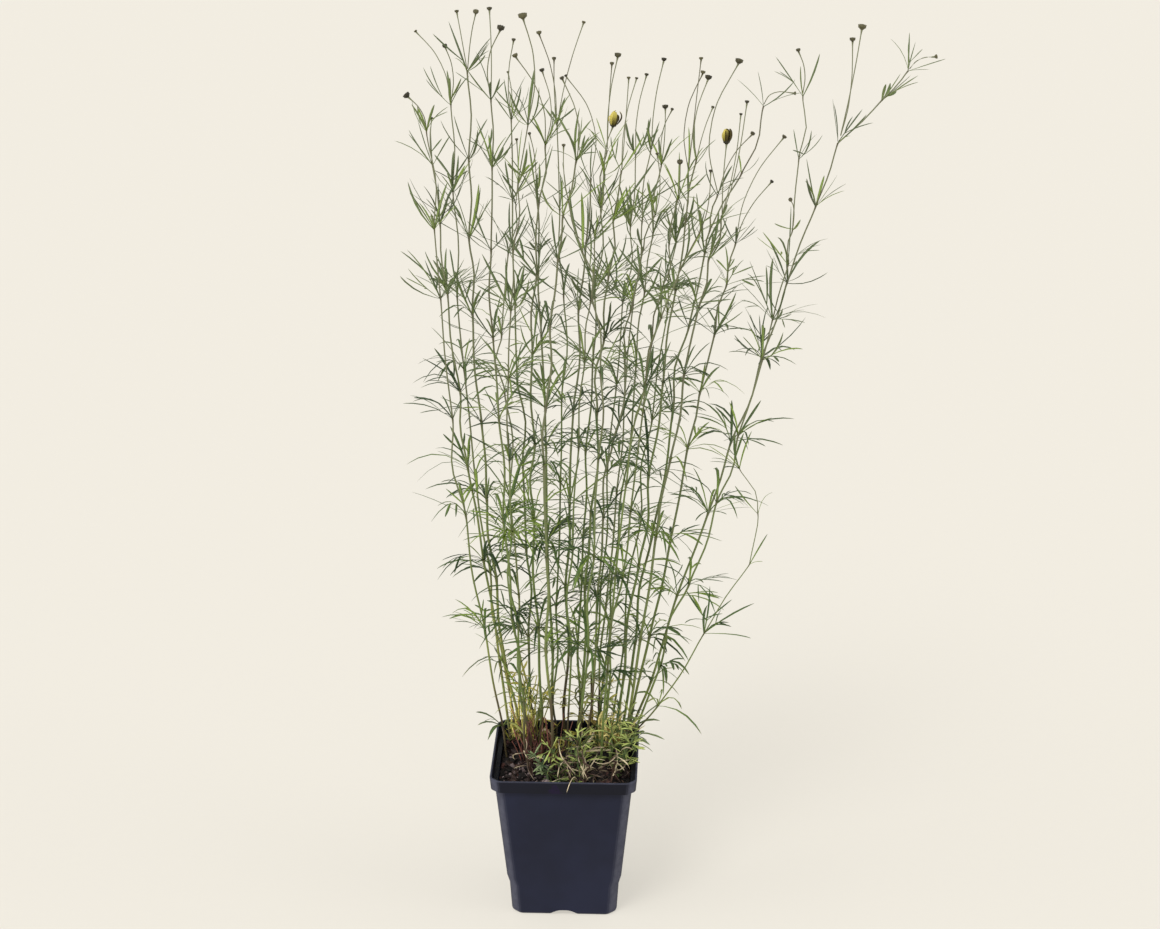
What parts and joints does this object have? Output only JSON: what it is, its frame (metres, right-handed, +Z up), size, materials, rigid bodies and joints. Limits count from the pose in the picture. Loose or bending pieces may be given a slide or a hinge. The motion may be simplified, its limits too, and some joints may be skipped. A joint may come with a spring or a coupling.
{
  "type": "potted coreopsis",
  "caption": "Threadleaf coreopsis in a square nursery pot: tall, wiry, fine-leaved stems fanning out of the soil, with button buds and opening yellow blooms.",
  "frame": {"origin": "middle of the pot's underside, on the surface it stands on", "axes": "+Z up along the plant, +X and +Y along the pot's sides; the plant leans a little to +X"},
  "size_m": [0.3111, 0.2262, 0.579],
  "materials": {
    "pot": "satin",
    "soil": "matte",
    "stem": "matte",
    "green_leaf": "matte",
    "yellow_leaf": "matte",
    "dry_leaf": "matte",
    "petal": "matte"
  },
  "bodies": {
    "root": {"pot": "pot", "soil": "soil", "stem_01": "stem", "stem_02": "stem", "stem_03": "stem", "stem_04": "stem", "stem_05": "stem", "stem_06": "stem", "stem_07": "stem", "stem_08": "stem", "stem_09": "stem", "stem_10": "stem", "stem_11": "stem", "stem_12": "stem", "stem_13": "stem", "stem_14": "stem", "stem_15": "stem", "stem_16": "stem", "stem_17": "stem", "stem_18": "stem", "stem_19": "stem", "stem_20": "stem", "stem_21": "stem", "stem_22": "stem", "stem_23": "stem", "stem_24": "stem", "stem_25": "stem", "stem_26": "stem", "stem_27": "stem", "stem_28": "stem", "stem_29": "stem", "stem_30": "stem", "stem_31": "stem", "shoot_01": "green_leaf", "shoot_02": "green_leaf", "shoot_03": "green_leaf", "shoot_04": "green_leaf", "shoot_05": "green_leaf", "shoot_06": "green_leaf", "shoot_07": "green_leaf", "shoot_08": "yellow_leaf", "shoot_09": "yellow_leaf", "shoot_10": "yellow_leaf", "shoot_11": "yellow_leaf", "shoot_12": "dry_leaf", "shoot_13": "dry_leaf", "shoot_14": "dry_leaf", "shoot_15": "dry_leaf", "bloom_left": "petal", "bloom_right": "petal"}
  },
  "joints": []
}
